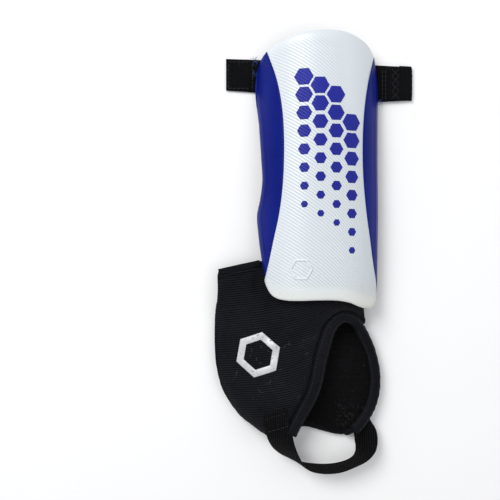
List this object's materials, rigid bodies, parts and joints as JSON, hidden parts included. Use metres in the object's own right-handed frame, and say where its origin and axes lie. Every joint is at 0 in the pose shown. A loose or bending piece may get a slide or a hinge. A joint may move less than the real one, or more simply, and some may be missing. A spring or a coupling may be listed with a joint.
{
  "type": "shin guard",
  "caption": "Arched hard-shell shin guard with foam backing, elastic calf strap, padded ankle sleeve and under-foot stirrup.",
  "frame": {"origin": "on the resting surface, under the shell's centre line at mid-length", "axes": "+Y towards the knee, +Z away from the leg, +X to the strap's sewn side"},
  "size_m": [0.1499, 0.3221, 0.0392],
  "materials": {
    "shell_white": "satin, ribbed",
    "shell_blue": "glossy",
    "cell_blue": "satin, ribbed",
    "foam": "closed-cell EVA foam",
    "lining_fabric": "brushed knit",
    "loop_tape": "looped pile",
    "sleeve_fabric": "ribbed knit",
    "binding_tape": "elastic binding",
    "thread": "spun thread",
    "elastic": "woven elastic",
    "hook_tape": "hook pile",
    "disc_plastic": "flexible sheet",
    "badge_silver": "worn silver transfer",
    "webbing": "woven webbing"
  },
  "bodies": {
    "guard": {"front_plate": "shell_white", "side_wing_inner": "shell_blue", "side_wing_outer": "shell_blue", "honeycomb_cells": "cell_blue", "hexagon_emblem": "shell_white", "backing_foam": "foam", "backing_lining": "lining_fabric", "loop_patch": "loop_tape", "collar_band": "sleeve_fabric", "collar_flap": "sleeve_fabric", "collar_back": "sleeve_fabric", "hem_tape": "binding_tape", "hem_stitches": "thread", "strap_anchor": "elastic"},
    "strap_base": {"strap_base": "elastic", "strap_base_stitches": "thread"},
    "strap_tail": {"strap_tail": "elastic", "hook_patch": "hook_tape", "hook_stitches": "thread"},
    "ankle": {"sleeve_front_fabric": "sleeve_fabric", "sleeve_front_padding": "foam", "sleeve_front_ankle_disc": "disc_plastic", "sleeve_front_lining": "lining_fabric", "sleeve_back_fabric": "sleeve_fabric", "sleeve_back_padding": "foam", "sleeve_back_ankle_disc": "disc_plastic", "sleeve_back_lining": "lining_fabric", "opening_binding": "binding_tape", "heel_binding": "binding_tape", "ankle_badge": "badge_silver", "stirrup_tab_inner": "webbing", "stirrup_tab_outer": "webbing"},
    "stirrup": {"stirrup_webbing": "webbing"}
  },
  "joints": [
    {"name": "strap_swing", "type": "hinge", "parent": "guard", "child": "strap_base", "pos_m": [0.0466, 0.0645, 0.00255], "axis": [0, -1, 0], "range_deg": [0, 90]},
    {"name": "strap_unfold", "type": "hinge", "parent": "strap_base", "child": "strap_tail", "pos_m": [0.0702, 0.0645, 0.00165], "axis": [0, -1, 0], "range_deg": [0, 180]},
    {"name": "ankle_flex", "type": "hinge", "parent": "guard", "child": "ankle", "pos_m": [0, -0.1045, 0.023], "axis": [-1, 0, 0], "range_deg": [-15, 70]},
    {"name": "stirrup_swing", "type": "hinge", "parent": "ankle", "child": "stirrup", "pos_m": [0.0075, -0.2035, 0.01], "axis": [-1, 0, 0], "range_deg": [-45, 45]}
  ]
}
